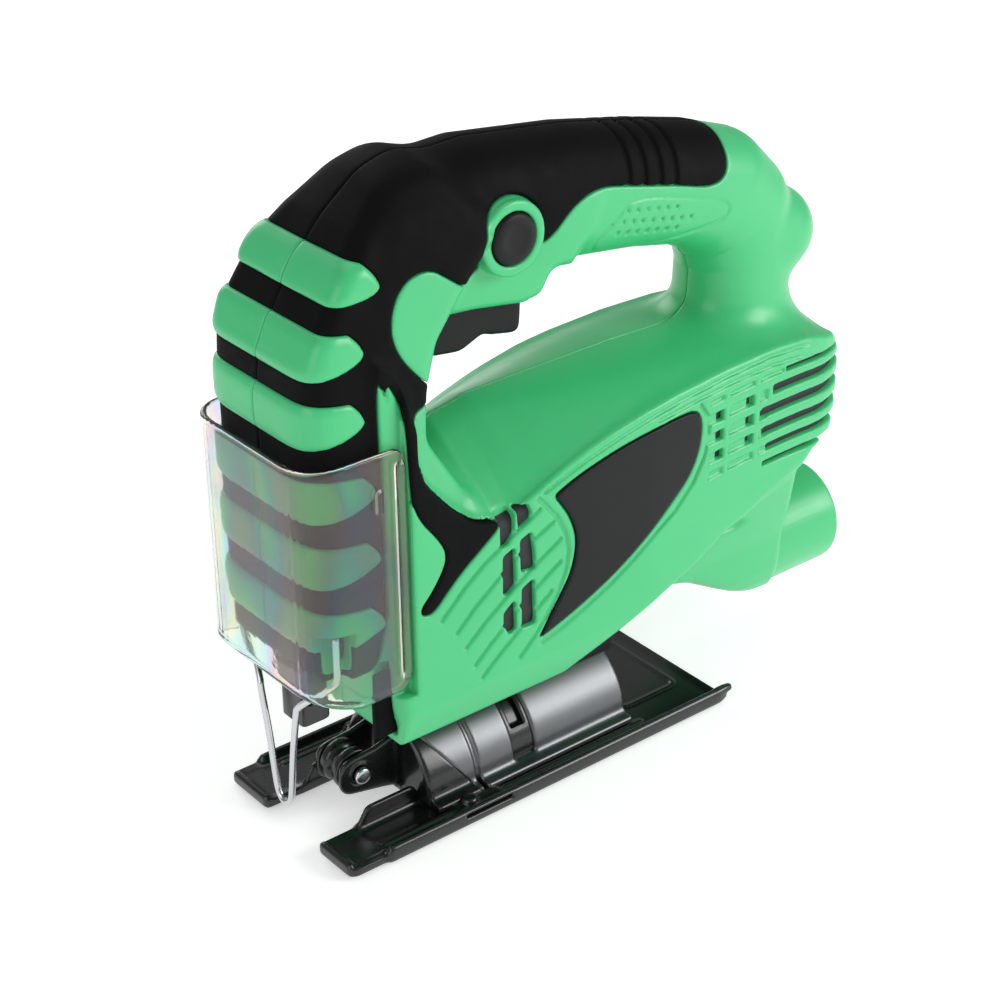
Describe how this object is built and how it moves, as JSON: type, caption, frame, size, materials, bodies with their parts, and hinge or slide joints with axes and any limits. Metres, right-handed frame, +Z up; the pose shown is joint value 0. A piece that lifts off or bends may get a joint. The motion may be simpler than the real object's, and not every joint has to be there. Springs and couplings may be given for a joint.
{
  "type": "jigsaw",
  "caption": "Corded D-handle jigsaw with a green body, black grip, clear chip guard, steel base plate and round dust port",
  "frame": {"origin": "middle of the tool's footprint, on the surface that the base plate stands on", "axes": "+X towards the dust port and the cord end, +Y towards the tool's right side, +Z up; the blade end faces -X"},
  "size_m": [0.2102, 0.0632, 0.1945],
  "materials": {
    "green_shell": "fine moulded, semi-gloss",
    "grip_rubber": "matte",
    "black_plastic": "fine grain",
    "base_paint": "satin",
    "cast_aluminium": "satin",
    "bright_steel": "polished",
    "copper_and_bronze": "satin",
    "clear_guard": "clear polished",
    "carbon": "matte"
  },
  "bodies": {
    "tool_body": {"housing_left": "green_shell", "housing_right": "green_shell", "grip_left": "grip_rubber", "grip_right": "grip_rubber", "badge_left": "black_plastic", "badge_right": "black_plastic", "wire_guard": "bright_steel", "saddle_seat": "black_plastic", "bevel_clamp": "bright_steel", "bevel_screw": "bright_steel", "lower_bush": "copper_and_bronze", "upper_bush": "copper_and_bronze", "gear_housing": "cast_aluminium", "gear_shaft": "bright_steel", "front_bearing": "bright_steel", "rear_bearing": "bright_steel", "field_core": "bright_steel", "field_coil_upper": "copper_and_bronze", "field_coil_lower": "copper_and_bronze", "carbon_brush_left": "carbon", "carbon_brush_right": "carbon", "brush_holder_left": "copper_and_bronze", "brush_holder_right": "copper_and_bronze", "brush_spring_left": "bright_steel", "brush_spring_right": "bright_steel", "switch_body": "black_plastic", "trigger_spring": "bright_steel", "cord_gland": "grip_rubber", "housing_screw_1": "bright_steel", "housing_screw_2": "bright_steel", "housing_screw_3": "bright_steel", "housing_screw_4": "bright_steel", "housing_screw_5": "bright_steel", "housing_screw_6": "bright_steel"},
    "base": {"base_plate": "base_paint", "saddle": "cast_aluminium", "roller_bracket": "base_paint", "roller_pin": "bright_steel"},
    "roller": {"guide_roller": "base_paint"},
    "reciprocating_rod": {"plunger": "bright_steel", "yoke": "bright_steel", "blade_clamp": "base_paint"},
    "crank": {"crank_gear": "bright_steel", "crank_pin": "bright_steel", "crank_roller": "bright_steel"},
    "rotor": {"armature_shaft": "bright_steel", "motor_pinion": "bright_steel", "armature_core": "bright_steel", "armature_winding": "copper_and_bronze", "commutator": "copper_and_bronze", "fan": "black_plastic"},
    "trigger_paddle": {"trigger": "black_plastic"},
    "dial": {"speed_dial": "black_plastic"},
    "button": {"lock_button": "black_plastic"},
    "guard": {"chip_guard": "clear_guard"}
  },
  "joints": [
    {"name": "base_tilt", "type": "hinge", "parent": "tool_body", "child": "base", "pos_m": [-0.02685, 0, 0.004], "axis": [1, 0, 0], "range_deg": [-45, 45]},
    {"name": "roller_spin", "type": "hinge", "parent": "base", "child": "roller", "pos_m": [-0.07845, 0, 0.0135], "axis": [0, 1, 0], "continuous": true},
    {"name": "plunger_stroke", "type": "slide", "parent": "tool_body", "child": "reciprocating_rod", "axis": [0, 0, 1], "range_m": [-0.014, 0.004]},
    {"name": "armature_spin", "type": "hinge", "parent": "tool_body", "child": "rotor", "pos_m": [0.02115, 0, 0.088], "axis": [1, 0, 0], "continuous": true},
    {"name": "crank_spin", "type": "hinge", "parent": "tool_body", "child": "crank", "pos_m": [-0.05185, 0, 0.064], "axis": [1, 0, 0], "continuous": true},
    {"name": "trigger_pull", "type": "slide", "parent": "tool_body", "child": "trigger_paddle", "axis": [0, 0, 1], "range_m": [0, 0.006], "stiffness_N_per_m": 400, "springref_m": -0.006, "deforming": ["trigger_spring"]},
    {"name": "dial_turn", "type": "hinge", "parent": "trigger_paddle", "child": "dial", "pos_m": [-0.04285, 0, 0.1385], "axis": [0, 1, 0], "range_deg": [0, 270]},
    {"name": "lock_press", "type": "slide", "parent": "tool_body", "child": "button", "axis": [0, 1, 0], "range_m": [0, 0.0035], "stiffness_N_per_m": 400, "springref_m": -0.004},
    {"name": "guard_lift", "type": "slide", "parent": "tool_body", "child": "guard", "axis": [0, 0, 1], "range_m": [0, 0.025]}
  ],
  "couplings": [
    {"joint": "crank_spin", "follows": "armature_spin", "ratio": -0.2}
  ]
}
